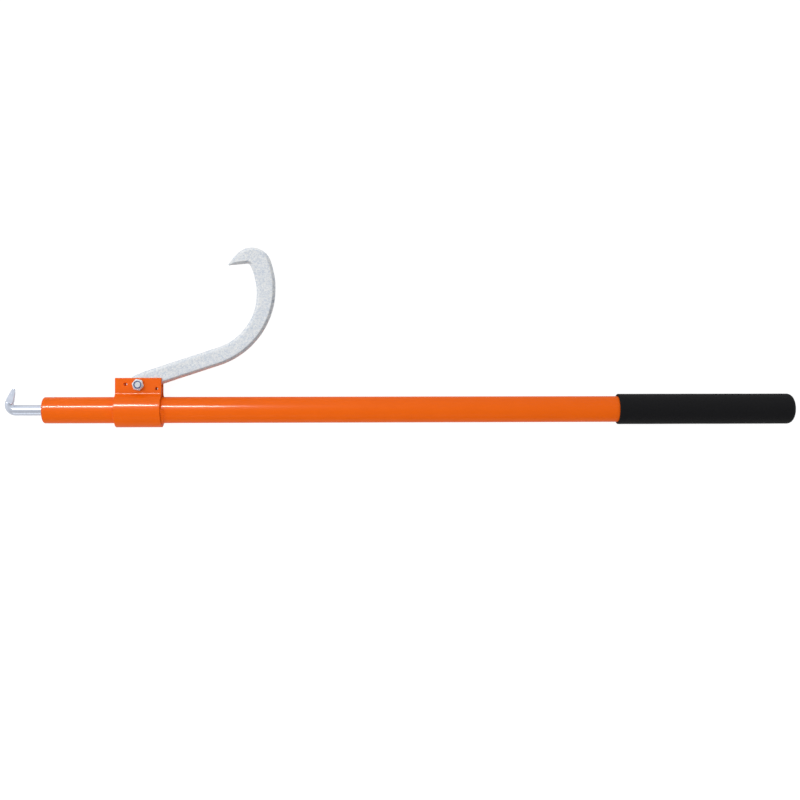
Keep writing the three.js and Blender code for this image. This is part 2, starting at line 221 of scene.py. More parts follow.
table_paint = bpy.data.materials.new("white_table")
table_paint.use_nodes = True
nodes, links = table_paint.node_tree.nodes, table_paint.node_tree.links
shader = nodes["Principled BSDF"]
shader.inputs["Roughness"].default_value = 0.8
ray = nodes.new("ShaderNodeLightPath")
glow = nodes.new("ShaderNodeMath")
glow.operation = "MULTIPLY"
glow.inputs[1].default_value = table_glow
links.new(ray.outputs["Is Camera Ray"], glow.inputs[0])
links.new(glow.outputs[0], shader.inputs["Emission Strength"])
seen = nodes.new("ShaderNodeMapRange")
seen.inputs["To Min"].default_value, seen.inputs["To Max"].default_value = table_tone, table_seen
links.new(ray.outputs["Is Camera Ray"], seen.inputs["Value"])
links.new(seen.outputs["Result"], shader.inputs["Base Color"])
shader.inputs["Emission Color"].default_value = (1, 1, 1, 1)
table_mesh.materials.append(table_paint)
print("table at z =", cad_low.z)

# %% [markdown]
# ## Surfaces from grids of points
# Nearly every part here is a closed skin over a grid: rows follow a path and columns run round
# a section. One function turns such a grid into a mesh. It joins the last column to the first,
# and closes the two ends with a fan to a middle point, or joins the last row to the first where
# the path is a loop. The signed volume says whether the faces point outwards.

# %% From a grid to a piece
def grid_faces(rows, columns, looped):
    """Quads between neighbouring rows and columns; columns always meet, rows meet if looped."""
    a, b = np.meshgrid(np.arange(rows if looped else rows - 1), np.arange(columns), indexing="ij")
    a, b = a.ravel(), b.ravel()
    below, beside = (a + 1) % rows, (b + 1) % columns
    corners = [a * columns + b, a * columns + beside, below * columns + beside, below * columns + b]
    return np.stack(corners, axis=1)


def end_fans(rows, columns):
    """Triangles from each end row to a middle point stored after the grid's own points."""
    b = np.arange(columns)
    beside = (b + 1) % columns
    first, last = np.full(columns, rows * columns), np.full(columns, rows * columns + 1)
    start = np.stack([first, beside, b], axis=1)
    end = np.stack([last, (rows - 1) * columns + b, (rows - 1) * columns + beside], axis=1)
    return np.vstack([start, end])


def skin(name, grid, looped=False):
    """An object over a grid of points, rows by columns by xyz, in millimetres from the datum."""
    rows, columns, _ = grid.shape
    points = grid.reshape(-1, 3)
    quads = grid_faces(rows, columns, looped)
    fans = np.empty((0, 3), int)
    if not looped:
        points = np.vstack([points, grid[0].mean(axis=0), grid[-1].mean(axis=0)])
        fans = end_fans(rows, columns)
    a, b, c = points[np.vstack([quads[:, :3], quads[:, [0, 2, 3]], fans])].transpose(1, 0, 2)
    volume = np.einsum("ij,ij->i", a, np.cross(b, c)).sum() / 6
    if volume < 0:
        quads, fans = quads[:, ::-1], fans[:, ::-1]
    mesh = bpy.data.meshes.new(name)
    mesh.from_pydata(points * MM + datum, [], quads.tolist() + fans.tolist())
    piece = bpy.data.objects.new(name, mesh)
    scene.collection.objects.link(piece)
    return piece


def drill(piece, cutters):
    """Cuts closed grids out of a piece with exact Booleans, and keeps only the resulting mesh."""
    for number, grid in enumerate(cutters):
        cutter = skin(f"{piece.name}_cutter_{number}", grid)
        cut = piece.modifiers.new("cut", "BOOLEAN")
        cut.operation = "DIFFERENCE"
        cut.solver = "EXACT"
        cut.object = cutter
        ready = piece.evaluated_get(bpy.context.evaluated_depsgraph_get())
        mesh = bpy.data.meshes.new_from_object(ready)
        piece.modifiers.clear()
        piece.data = mesh
        bpy.data.objects.remove(cutter)


def finish_piece(piece, node, slot, material, crease=40):
    """Smooth shading that keeps real edges, the finish, the mirrored lights that the finish
    gets, and the piece's place in the frame."""
    piece.data.shade_smooth()
    piece.data.set_sharp_from_angle(angle=np.radians(crease))
    piece.data.materials.clear()
    piece.data.materials.append(material)
    body = frame["nodes"][node]["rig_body"]
    if slot in lit_pieces:
        lit_pieces[slot].objects.link(piece)
    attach(piece, body)
    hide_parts(node)
    print(piece.name, "stands for", node, "on", body, "with", len(piece.data.polygons), "faces")


# %% [markdown]
# ## Sections and turned shapes
# Real edges are never sharp: a paint film rounds them and a plating softens them. So every
# section starts as a few corners, and each corner is replaced with a short curve. A turned
# shape spins such a section about an axis, and two small functions stand it on end.

# %% Sections
def soften(corners, radii, steps=4, closed=True):
    """Each corner becomes a quadratic curve. It leaves one edge and meets the next at the given
    radius from the corner, and never past 0.45 of an edge. Corners may be a stack of outlines."""
    corners = np.asarray(corners, float)
    count = corners.shape[-2]
    radii = np.broadcast_to(radii, count)
    t = np.linspace(0, 1, steps + 1)[:, None]
    parts = []
    for k in range(count):
        here = corners[..., k:k + 1, :]
        if radii[k] == 0 or (not closed and k in (0, count - 1)):
            parts.append(here)
            continue
        ends = []
        for other in (corners[..., (k - 1) % count, None, :], corners[..., (k + 1) % count, None, :]):
            gap = other - here
            length = np.maximum(np.linalg.norm(gap, axis=-1, keepdims=True), 1e-9)
            ends.append(here + gap * np.minimum(radii[k], 0.45 * length) / length)
        parts.append((1 - t) ** 2 * ends[0] + 2 * t * (1 - t) * here + t ** 2 * ends[1])
    return np.concatenate(parts, axis=-2)


def full_turn(sides):
    """Evenly spaced angles round a full turn, without the last that would repeat the first."""
    return np.linspace(0, 2 * np.pi, sides, endpoint=False)


def turned(profile, sides=96):
    """Each [x, radius] of a profile becomes a circle: y is r cos(angle), z is r sin(angle).
    A radius may also be a row of radii, one for each side."""
    x = np.array([p[0] for p in profile], float)[:, None]
    radius = np.array([np.broadcast_to(p[1], sides) for p in profile], float)
    angle = full_turn(sides)
    return np.stack([np.broadcast_to(x, radius.shape), radius * np.cos(angle), radius * np.sin(angle)], -1)


def ring(start, end, inner, outer):
    """The four corners of a tube's wall."""
    return [(start, inner), (start, outer), (end, outer), (end, inner)]


def standing(grid, x, y):
    """A turned shape with its axis stood up along Z through (x, y)."""
    return np.stack([grid[..., 1] + x, grid[..., 2] + y, grid[..., 0]], axis=-1)


def crosswise(grid, x):
    """A turned shape with its axis laid along Y through x."""
    return np.stack([grid[..., 2] + x, grid[..., 0], grid[..., 1]], axis=-1)


def hexagon(angle, across_flats, corner_radius):
    """Distance from the centre to a hexagon's edge at each angle, with its corners turned off."""
    sector = np.mod(angle, np.pi / 3) - np.pi / 6
    return np.minimum(across_flats / 2 / np.cos(sector), corner_radius)


def roughen(grid, amount, wavelength, seed, looped=False):
    """Moves each point along the surface's own normal by a sum of slow waves in random directions."""
    draw = np.random.default_rng(seed)
    waves = draw.normal(size=(14, 3)) * 2 * np.pi / wavelength
    phases = draw.uniform(0, 2 * np.pi, 14)
    height = amount * np.sin(grid @ waves.T + phases).mean(axis=-1) * 2
    if looped:
        along = np.roll(grid, -1, axis=0) - np.roll(grid, 1, axis=0)
    else:
        along = np.gradient(grid, axis=0)
    around = np.roll(grid, -1, axis=1) - np.roll(grid, 1, axis=1)
    normal = np.cross(around, along)
    length = np.linalg.norm(normal, axis=-1, keepdims=True)
    return grid + height[..., None] * normal / np.maximum(length, 1e-9)


print("section helpers ready")

# %% [markdown]
# ## Effects that several finishes share
# Three effects turn up again and again on this tool, so each is a node group built once.
# *Mottling* is a mask of soft blotches and small cells, as zinc and powder paint both show.
# *Film relief* is the height of a skin that dried or froze unevenly, in metres.
# *Worn and shaded edges* finds the convex edges, which handling brightens first; on the forged hook they
# carry painted shade instead.

# %% Node groups
def new_group(name, inputs, outputs):
    """An empty shader node group with named number inputs and named outputs."""
    group = bpy.data.node_groups.new(name, "ShaderNodeTree")
    for label, value in inputs:
        socket = group.interface.new_socket(label, in_out="INPUT", socket_type="NodeSocketFloat")
        socket.default_value = value
    for label in outputs:
        group.interface.new_socket(label, in_out="OUTPUT", socket_type="NodeSocketFloat")
    return group, group.nodes.new("NodeGroupInput"), group.nodes.new("NodeGroupOutput")


def add_node(tree, kind, settings=(), **inputs):
    """A node whose inputs are given by name: a number or colour sets it, a socket links to it."""
    node = tree.nodes.new(kind)
    for attribute, value in settings:
        setattr(node, attribute, value)
    for label, value in inputs.items():
        key = int(label[1:]) if label[0] == "_" else label.replace("_", " ")
        if isinstance(value, bpy.types.NodeSocket):
            tree.links.new(value, node.inputs[key])
        else:
            node.inputs[key].default_value = value
    return node


def math_node(tree, operation, first, second):
    """A Math node's result socket."""
    return add_node(tree, "ShaderNodeMath", [("operation", operation)], _0=first, _1=second).outputs[0]


def mottling_group():
    """Soft noise blotches mixed with small cells of one tone each, as a mask from 0 to 1."""
    group, entry, leave = new_group(
        "mottling", [("Size", 0.006), ("Cells", 0.4), ("Contrast", 1.0)], ["Mask"])
    place = group.nodes.new("ShaderNodeTexCoord").outputs["Object"]
    scale = math_node(group, "DIVIDE", 1.0, entry.outputs["Size"])
    cell_scale = math_node(group, "MULTIPLY", scale, 2.3)
    blotch = add_node(group, "ShaderNodeTexNoise", Vector=place, Scale=scale, Detail=4.0, Roughness=0.6)
    cells = add_node(group, "ShaderNodeTexVoronoi", Vector=place, Scale=cell_scale)
    tone = add_node(group, "ShaderNodeSeparateColor", Color=cells.outputs["Color"])
    mixed = add_node(group, "ShaderNodeMix", Factor=entry.outputs["Cells"],
                     A=blotch.outputs[0], B=tone.outputs[0])
    centred = math_node(group, "SUBTRACT", mixed.outputs[0], 0.5)
    stretched = math_node(group, "MULTIPLY", centred, entry.outputs["Contrast"])
    mask = add_node(group, "ShaderNodeMath", [("operation", "ADD"), ("use_clamp", True)],
                    _0=stretched, _1=0.5)
    group.links.new(mask.outputs[0], leave.inputs["Mask"])
    return group


def film_relief_group():
    """Noise of one size plus a third as much of noise a quarter that size, times a height."""
    group, entry, leave = new_group("film relief", [("Size", 0.002), ("Height", 0.00002)], ["Height"])
    place = group.nodes.new("ShaderNodeTexCoord").outputs["Object"]
    scale = math_node(group, "DIVIDE", 1.0, entry.outputs["Size"])
    fine_scale = math_node(group, "MULTIPLY", scale, 4.0)
    coarse = add_node(group, "ShaderNodeTexNoise", Vector=place, Scale=scale, Detail=1.0)
    fine = add_node(group, "ShaderNodeTexNoise", Vector=place, Scale=fine_scale, Detail=2.0)
    third = math_node(group, "MULTIPLY", fine.outputs[0], 0.33)
    total = math_node(group, "ADD", coarse.outputs[0], third)
    height = math_node(group, "MULTIPLY", total, entry.outputs["Height"])
    group.links.new(height, leave.inputs["Height"])
    return group


def worn_and_shaded_edges_group():
    """A mask of the convex edges, broken up by noise so that no edge is worn evenly. On the forged hook the
    same mask places painted shade.
    """
    group, entry, leave = new_group("worn and shaded edges", [("Start", 0.52), ("Full", 0.6)], ["Mask"])
    place = group.nodes.new("ShaderNodeTexCoord").outputs["Object"]
    sharpness = group.nodes.new("ShaderNodeNewGeometry").outputs["Pointiness"]
    edge = add_node(group, "ShaderNodeMapRange", Value=sharpness,
                    From_Min=entry.outputs["Start"], From_Max=entry.outputs["Full"])
    breakup = add_node(group, "ShaderNodeTexNoise", Vector=place, Scale=180.0, Detail=3.0)
    chipped = add_node(group, "ShaderNodeMapRange", Value=breakup.outputs[0], From_Min=0.35, From_Max=0.6)
    mask = math_node(group, "MULTIPLY", edge.outputs[0], chipped.outputs[0])
    group.links.new(mask, leave.inputs["Mask"])
    return group


mottling = mottling_group()
film_relief = film_relief_group()
worn_and_shaded_edges = worn_and_shaded_edges_group()
print("node groups:", [group.name for group in (mottling, film_relief, worn_and_shaded_edges)])


# %% [markdown]
# ## Finishes
# Each finish is one Principled shader. Its plain numbers are set on the shader itself, and only
# what changes over the surface goes through nodes: the colour and roughness between two values
# by a mask, and one height for the relief.

# %% Building a finish
def place_group(tree, group, **inputs):
    """A shared effect placed in a finish with its own values."""
    return add_node(tree, "ShaderNodeGroup", [("node_tree", group)], **inputs)


def blend_colour(tree, mask, first, second):
    """A colour that goes from the first to the second as the mask goes from 0 to 1."""
    node = tree.nodes.new("ShaderNodeMix")
    node.data_type = "RGBA"
    tree.links.new(mask, node.inputs["Factor"])
    for socket, value in ((node.inputs[6], first), (node.inputs[7], second)):
        if isinstance(value, bpy.types.NodeSocket):
            tree.links.new(value, socket)
        else:
            socket.default_value = (*value, 1)
    return node.outputs[2]


def new_finish(name, **plain):
    """A material with its Principled shader's plain numbers set."""
    material = bpy.data.materials.new(name)
    material.use_nodes = True
    shader = material.node_tree.nodes["Principled BSDF"]
    for label, value in plain.items():
        shader.inputs[label.replace("_", " ")].default_value = value
    return material, material.node_tree, shader


def set_skin(tree, shader, colour, mask, smooth, rough):
    """Feeds a colour to the shader, and a roughness between two values by a mask."""
    gloss = add_node(tree, "ShaderNodeMapRange", Value=mask, To_Min=smooth, To_Max=rough)
    tree.links.new(colour, shader.inputs["Base Color"])
    tree.links.new(gloss.outputs[0], shader.inputs["Roughness"])


def set_relief(tree, shader, height, sockets=("Normal",)):
    """Feeds a height in metres to the shader's normal, and to its coat's where that is named."""
    bump = add_node(tree, "ShaderNodeBump", Strength=1.0, Distance=1.0, Height=height)
    for label in sockets:
        tree.links.new(bump.outputs["Normal"], shader.inputs[label])


# %% [markdown]
# ### Orange powder coat
# Powder coat is a thick glossy skin. It flows as it is baked, so it shows a faint orange peel,
# pulls a little thin over edges, and its tone wanders slightly. A clear coat over a rougher
# base gives the crisp line of light on a soft body colour.

# %% Orange paint
def orange_paint_finish():
    material, tree, shader = new_finish(
        "orange_paint", Coat_Weight=0.32, Coat_Roughness=0.17, Coat_IOR=1.4, Specular_IOR_Level=0.02)
    tone = place_group(tree, mottling, Size=0.03, Cells=0.0, Contrast=1.4)
    edges = place_group(tree, worn_and_shaded_edges, Start=0.53, Full=0.66)
    body = blend_colour(tree, tone.outputs["Mask"], (0.83, 0.120, 0.0014), (0.87, 0.130, 0.0026))
    thin = math_node(tree, "MULTIPLY", edges.outputs["Mask"], 0.35)
    colour = blend_colour(tree, thin, body, (0.93, 0.2, 0.02))
    set_skin(tree, shader, colour, tone.outputs["Mask"], 0.34, 0.42)
    peel = place_group(tree, film_relief, Size=0.004, Height=0.0000012)
    set_relief(tree, shader, peel.outputs["Height"], ("Normal", "Coat Normal"))
    return material


orange_paint = orange_paint_finish()
print("made", orange_paint.name)


# %% [markdown]
# ### Zinc plate
# The forged hook, the fasteners and the toe bar are all zinc plated, but not alike. The forging
# is coarse under its plating, so it is mottled and satin, and its edges are painted darker as
# painted shade. The fasteners were cut bright, and the toe bar is drawn and polished. One function makes
# all three.

# %% Zinc
def zinc_finish(name, dark, light, edge, rough, blotch, cells, relief):
    """Zinc plate: dark and light tones by blotches, edges of a third tone, and a satin or bright
    gloss. On the forged hook that edge tone is darker, a painted shade. Rough is a pair of
    roughnesses, blotch the mottling's size in metres, cells the cells' share in it, relief its size
    and height in metres."""
    material, tree, shader = new_finish(name, Metallic=1.0)
    tone = place_group(tree, mottling, Size=blotch, Cells=cells, Contrast=1.7)
    edges = place_group(tree, worn_and_shaded_edges, Start=0.52, Full=0.62)
    body = blend_colour(tree, tone.outputs["Mask"], dark, light)
    # Edge wear on the bright zinc and the fasteners; on the forged hook this darker edge tone is painted
    # shade.
    edge_wear_and_shade = math_node(tree, "MULTIPLY", edges.outputs["Mask"], 0.6)
    colour = blend_colour(tree, edge_wear_and_shade, body, edge)
    set_skin(tree, shader, colour, tone.outputs["Mask"], *rough)
    surface = place_group(tree, film_relief, Size=relief[0], Height=relief[1])
    set_relief(tree, shader, surface.outputs["Height"])
    return material


# The forged hook's dark edge tone is painted shade along its bevel edges.
forged_zinc = zinc_finish(
    "forged_zinc", dark=(0.60, 0.66, 0.75), light=(0.99, 0.985, 0.96), edge=(0.30, 0.33, 0.40),
    rough=(0.28, 0.42), blotch=0.0042, cells=0.4, relief=(0.0024, 0.00005))
bright_zinc = zinc_finish(
    "bright_zinc", dark=(0.62, 0.67, 0.78), light=(0.74, 0.78, 0.88), edge=(0.93, 0.95, 0.98),
    rough=(0.13, 0.2), blotch=0.009, cells=0.1, relief=(0.006, 0.000001))
fastener_zinc = zinc_finish(
    "fastener_zinc", dark=(0.78, 0.82, 0.86), light=(0.92, 0.94, 0.96), edge=(0.98, 0.98, 0.99),
    rough=(0.2, 0.32), blotch=0.003, cells=0.2, relief=(0.0012, 0.000012))
print("made", forged_zinc.name, bright_zinc.name, fastener_zinc.name)


# %% [markdown]
# ### Foam rubber, nylon and moulded plastic
# The grip is skinned foam rubber: matt, almost black, and pitted with burst cells under a
# millimetre across, with painted shade darkening each cell's hollow. The lock nut's ring is a blue
# nylon with a waxy gloss, and the cup inside the tube's end is a plain black moulding.

# %% Rubber and plastics
def foam_rubber_finish():
    material, tree, shader = new_finish("foam_rubber", Specular_IOR_Level=0.16)
    place = tree.nodes.new("ShaderNodeTexCoord").outputs["Object"]
    tone = place_group(tree, mottling, Size=0.012, Cells=0.25, Contrast=1.6)
    cells = add_node(tree, "ShaderNodeTexVoronoi", Vector=place, Scale=1250.0)
    pit_depth_and_shade = add_node(tree, "ShaderNodeMapRange", Value=cells.outputs["Distance"], From_Min=0.1, From_Max=0.6)
    mask = tone.outputs["Mask"]
    skin_tone = blend_colour(tree, mask, (0.0056, 0.0055, 0.0064), (0.0088, 0.0086, 0.0098))
    # Each burst cell's hollow is painted darker: painted shade laid over its real dip in the relief.
    colour = blend_colour(tree, pit_depth_and_shade.outputs[0], (0.0025, 0.0025, 0.003), skin_tone)
    set_skin(tree, shader, colour, mask, 0.62, 0.8)
    swell = place_group(tree, film_relief, Size=0.009, Height=0.00012)
    pit_height = math_node(tree, "MULTIPLY", pit_depth_and_shade.outputs[0], 0.00012)
    set_relief(tree, shader, math_node(tree, "ADD", swell.outputs["Height"], pit_height))
    return material


def plastic_finish(name, dark, light, rough):
    """A moulding: its tone wanders a little and its skin is faintly uneven."""
    material, tree, shader = new_finish(name, Specular_IOR_Level=0.5)
    tone = place_group(tree, mottling, Size=0.004, Cells=0.1, Contrast=1.2)
    colour = blend_colour(tree, tone.outputs["Mask"], dark, light)
    set_skin(tree, shader, colour, tone.outputs["Mask"], rough, rough + 0.1)
    surface = place_group(tree, film_relief, Size=0.0008, Height=0.000008)
    set_relief(tree, shader, surface.outputs["Height"])
    return material


foam_rubber = foam_rubber_finish()
blue_nylon = plastic_finish("blue_nylon", (0.045, 0.075, 0.24), (0.075, 0.115, 0.32), 0.35)
black_moulding = plastic_finish("black_moulding", (0.012, 0.012, 0.012), (0.022, 0.022, 0.022), 0.45)
print("made", foam_rubber.name, blue_nylon.name, black_moulding.name)

# %% [markdown]
# ## The handle tube
# The lever is a length of steel tube. Its skin is one section carried round: the outer wall,
# the cut end, the bore and the other end, with the saw cuts' edges softened. A hole for the
# toe hook's set screw is drilled near the toe end.

# %% Tube and its screw hole
edge_round = 0.7
tube_wall = soften(ring(tube_start, tube_end, tube_bore, tube_radius), edge_round)
painted_tube = skin("painted_tube", turned(tube_wall, sides=160), looped=True)

screw_x = (span("toe_set_screw")[0][0] + span("toe_set_screw")[1][0]) / 2
screw_radius = 4.0
screw_hole = screw_radius + fit_gap
hole_flare = 0.5
hole_profile = [
    (0, screw_hole), (tube_radius - hole_flare, screw_hole),
    (tube_radius + 1, screw_hole + 1 + hole_flare),
]
drill(painted_tube, [crosswise(turned(hole_profile, sides=48), screw_x)])
finish_piece(painted_tube, "handle_tube", "orange_paint", orange_paint, crease=50)

# %% [markdown]
# ## The toe socket
# A thick steel plug inside the tube's end carries the toe hook. It is a turned ring with the
# same set screw's hole through its upper side.

# %% Socket
bar_radius = 8.0
socket_low, socket_high = span("toe_socket")
socket_wall = ring(socket_low[0], socket_high[0], bar_radius + fit_gap, tube_bore - fit_gap)
socket_plug = skin("socket_plug", turned(soften(socket_wall, edge_round)), looped=True)
drill(socket_plug, [crosswise(turned([(0, screw_hole), (tube_radius, screw_hole)], sides=48), screw_x)])
finish_piece(socket_plug, "toe_socket", "orange_paint", orange_paint)


# %% [markdown]
# ## Weld beads
# A hand-laid bead is a row of small overlapping ripples, one for each pause of the torch. Each
# bead here is a rounded section carried round the tube, and its size swells and drops along
# the way: steeply at the front of each ripple and slowly behind it, with a little of the
# welder's own unevenness. Rows run round the tube and columns run round the section.

# %% Beads
ripple_pitch = 3.1
ripple_depth = 0.2
ripple_rise = 0.8           # the share of a ripple that rises slowly
thinned = 0.62              # how much of a fillet's size is lost opposite the hook


def ripple(turns):
    """A slow rise from 0 to 1 and a quick drop back, once per turn."""
    rise = np.mod(turns, 1.0)
    return np.where(rise < ripple_rise, rise / ripple_rise, (1 - rise) / (1 - ripple_rise))


def uneven_size(angle, radius, seed):
    """Share of full size along a bead: its ripples, with a slow wander of pitch and size."""
    wander = 0.35 * np.sin(2.3 * angle + seed) + 0.25 * np.sin(5.1 * angle + 2 * seed)
    dips = ripple_depth * (1 - ripple(angle * radius / ripple_pitch + wander))
    return 1 - dips - 0.05 * (1 + np.sin(3.7 * angle + seed))


def round_tube(x, radius, angle):
    """A section carried round the tube, one row for each angle."""
    angle = angle[:, None]
    return np.stack([x, radius * np.cos(angle), radius * np.sin(angle)], axis=-1)


def fillet_bead(name, node, direction, leg_along, leg_up, top, seed):
    """A fillet between a band's end face and the tube, on the side away from the hook. Its
    section is a bulged quarter round on two legs, thin at the middle of the bead's run and full
    at its sides, and both ends of the bead shrink to a nose."""
    face = span(node)[0 if direction > 0 else 1][0]
    root = tube_radius + fit_gap
    start = np.arccos(top / (root + leg_up / 2))
    angle = np.linspace(start, 2 * np.pi - start, 420)
    along = np.linspace(-1, 1, len(angle))
    size = uneven_size(angle, root, seed) * np.sqrt(np.maximum(1 - np.abs(along) ** 16, 0.02))
    size = size * (1 - thinned * np.clip(-np.cos(angle), 0, 1) ** 1.5)
    sweep = np.linspace(0, np.pi / 2, 13)
    bulge = 1 - 0.2 * np.sin(2 * sweep) ** 2
    out = np.concatenate([leg_along * np.sin(sweep) * bulge, [0]])
    up = np.concatenate([leg_up * np.cos(sweep) * bulge, [0]])
    x = face + direction * size[:, None] * out
    piece = skin(name, round_tube(x, root + size[:, None] * up, angle))
    finish_piece(piece, node, "orange_paint", orange_paint, crease=60)


fillet_bead("toe_side_bead", "clevis_weld_toe_side", -1, leg_along=4.5, leg_up=3.5, top=4, seed=1.0)
fillet_bead("grip_side_bead", "clevis_weld_grip_side", 1, leg_along=7.5, leg_up=3.8, top=3, seed=2.2)


# %% [markdown]
# A low bead also closes the joint between the socket and the tube. It runs all the way round
# the end face, so its rows meet.

# %% End bead
def end_bead():
    """A half-round section carried round a full circle on the tube's end face."""
    back = span("toe_socket_weld")[1][0]
    height = back - span("toe_socket_weld")[0][0]
    inner, outer = 14.5, 19.2
    middle, half = (inner + outer) / 2, (outer - inner) / 2
    angle = full_turn(360)
    count = round(2 * np.pi * middle / ripple_pitch)
    size = 1 - 2 * ripple_depth * (1 - ripple(angle * count / (2 * np.pi)))
    sweep = np.linspace(0, np.pi, 15)
    x = back - height * size[:, None] * np.sin(sweep)
    radius = middle + half * (0.9 + 0.1 * size[:, None]) * np.cos(sweep)
    piece = skin("socket_bead", round_tube(x, radius, angle), looped=True)
    finish_piece(piece, "toe_socket_weld", "orange_paint", orange_paint, crease=60)


end_bead()


# %% [markdown]
# ## The toe hook and its set screw
# The toe hook is one round bar: a straight shank, a tight bend, and a drawn-down point that
# leans back over the tube. It is a circle carried along that path, and towards the tip the
# circle narrows at different rates in the two directions. The smith then hammered the point flat
# and ground its outer corners, so points past a flat's plane are pushed back on to it. Each
# flat's plane passes just outside the tip and slopes away from it.

# %% Toe bar
toe_bend, toe_lean, toe_inset, point_length = 9.0, 17.5, 15.52, 23.0
bend_flat = 0.775
point_rows, tip_clearance = 35, 1.3
hammered_slope, ground_slope = 0.13, 0.31
# share of the way along the point, then its width and its thickness as shares of the bar's
toe_taper = np.array([
    [0, bend_flat, 1], [0.2, 0.74, 0.94], [0.4, 0.64, 0.84],
    [0.66, 0.5, 0.64], [0.9, 0.3, 0.36], [1, 0.12, 0.14],
])


def flatten(grid, point, normal):
    """Pushes what lies beyond a plane back on to it."""
    normal = np.asarray(normal, float) / np.linalg.norm(normal)
    past = np.maximum((grid - point) @ normal, 0)
    return grid - past[..., None] * normal


def toe_bar():
    shank_end = span("toe_hook")[1][0]
    chamfer = 1.0
    sweep = np.radians(90 + toe_lean)
    shank = np.array([shank_end, shank_end - chamfer, 90, 70, 50, 35, 25])
    turn = np.linspace(0, sweep, 40)
    heading = np.pi - sweep
    share = np.linspace(0, 1, point_rows + 1)[1:]
    bend_x = toe_inset - toe_bend * np.sin(turn)
    bend_y = toe_bend * (1 - np.cos(turn))
    x = np.concatenate([shank, bend_x, bend_x[-1] + point_length * share * np.cos(heading)])
    y = np.concatenate([0 * shank, bend_y, bend_y[-1] + point_length * share * np.sin(heading)])
    angle_of_path = np.concatenate([0 * shank + np.pi, np.pi - turn, 0 * share + heading])
    point_flat, point_thick = (np.interp(share, toe_taper[:, 0], toe_taper[:, k]) for k in (1, 2))
    flat = np.concatenate([0 * shank + 1, 1 + (bend_flat - 1) * turn / sweep, point_flat])
    thick = np.concatenate([0 * shank + 1, 0 * turn + 1, point_thick])
    flat[0] = thick[0] = 1 - chamfer / bar_radius
    around = full_turn(72)
    aside = bar_radius * flat[:, None] * np.cos(around)
    grid = np.stack([
        x[:, None] - np.sin(angle_of_path)[:, None] * aside,
        y[:, None] + np.cos(angle_of_path)[:, None] * aside,
        bar_radius * thick[:, None] * np.sin(around),
    ], axis=-1)
    tip = np.array([x[-1], y[-1], 0])
    onward = np.array([np.cos(heading), np.sin(heading), 0])
    outward = np.array([-np.sin(heading), np.cos(heading), 0])
    point = slice(-point_rows - 1, None)
    for side in (1, -1):
        hammered, ground = np.array([0, 0, side]), 0.72 * outward + [0, 0, 0.7 * side]
        for facing, slope in ((hammered, hammered_slope), (ground, ground_slope)):
            grid[point] = flatten(grid[point], tip + tip_clearance * facing, facing + slope * onward)
    piece = skin("toe_bar", roughen(grid, 0.02, 30, seed=4))
    finish_piece(piece, "toe_hook", "bright_plate", bright_zinc, crease=35)


toe_bar()


# %% [markdown]
# The set screw stands in its hole across the tube. Its side is a turned shape, and its key
# socket is the same turned rows with a hexagon for their radius.

# %% Set screw
def set_screw():
    low, high = span("toe_set_screw")
    bottom, top = low[1], high[1]
    sides = 96
    angle = full_turn(sides)
    key = hexagon(angle, across_flats=4.0, corner_radius=2.25)
    key_depth, chamfer, cup = 5.0, 0.5, 0.8
    profile = [
        (bottom + cup, 1.2), (bottom, screw_radius - cup), (bottom + chamfer, screw_radius),
        (top - chamfer, screw_radius), (top - 0.1, screw_radius - chamfer), (top, screw_radius - 1.0),
        (top, key + 0.2), (top - 0.2, key), (top - key_depth, key), (top - key_depth - 0.6, key * 0.4),
    ]
    piece = skin("grub_screw", crosswise(turned(profile, sides), screw_x))
    finish_piece(piece, "toe_set_screw", "bright_plate", fastener_zinc, crease=30)


set_screw()

# %% [markdown]
# ## The clevis
# The clevis is one strip of 6 mm steel, bent round the tube with its two ends turned up into
# parallel plates. So it is made as the shop makes it: the strip's rounded rectangle is carried
# along the middle line of the bends. The middle line is a straight, a tight bend, the long arc
# round the tube, a second tight bend and a second straight. At the strip's two ends the
# rectangle shrinks over a quarter circle, which rounds the sheared edges.

# %% Clevis strip
strip = 6.0
half_gap = 5.2
bend_radius = 4.0
clevis_start, clevis_end, clevis_top = span("clevis_bracket")[0][0], *span("clevis_bracket")[1][:2]
bolt_hole = 5.3
pin_holes = [(183.3, 39.3, 2.6), (229.9, 32.5, 2.2)]        # x, y, radius


def clevis_path():
    """Stations along the strip's middle: across, up, heading and how far the section shrinks."""
    plate_middle = half_gap + strip / 2
    band_middle = tube_radius + fit_gap + strip / 2
    bend_middle = bend_radius + strip / 2
    bend_across = plate_middle + bend_middle
    bend_up = np.sqrt((band_middle + bend_middle) ** 2 - bend_across ** 2)
    lean = np.arctan2(bend_up, bend_across)
    rounding = edge_round * np.sin(np.linspace(0, np.pi / 2, 6))[::-1]
    up = np.concatenate([clevis_top - edge_round + rounding, np.linspace(clevis_top - 2, bend_up, 12)[:-1]])
    shrink = np.zeros(len(up))
    shrink[:6] = edge_round - np.sqrt(np.maximum(edge_round ** 2 - rounding ** 2, 0))
    straight = np.stack([0 * up + plate_middle, up, 0 * up - np.pi / 2, shrink], axis=1)
    turn = np.linspace(np.pi, np.pi + lean, 24)
    bend = np.stack([bend_across + bend_middle * np.cos(turn), bend_up + bend_middle * np.sin(turn),
                     turn + np.pi / 2, 0 * turn], axis=1)
    sweep = np.linspace(lean, -np.pi / 2, 60)[1:]
    band = np.stack([band_middle * np.cos(sweep), band_middle * np.sin(sweep),
                     sweep - np.pi / 2, 0 * sweep], axis=1)
    half = np.concatenate([straight, bend, band])
    mirrored = half[-2::-1] * [-1, 1, -1, 1]
    return np.concatenate([half, mirrored])


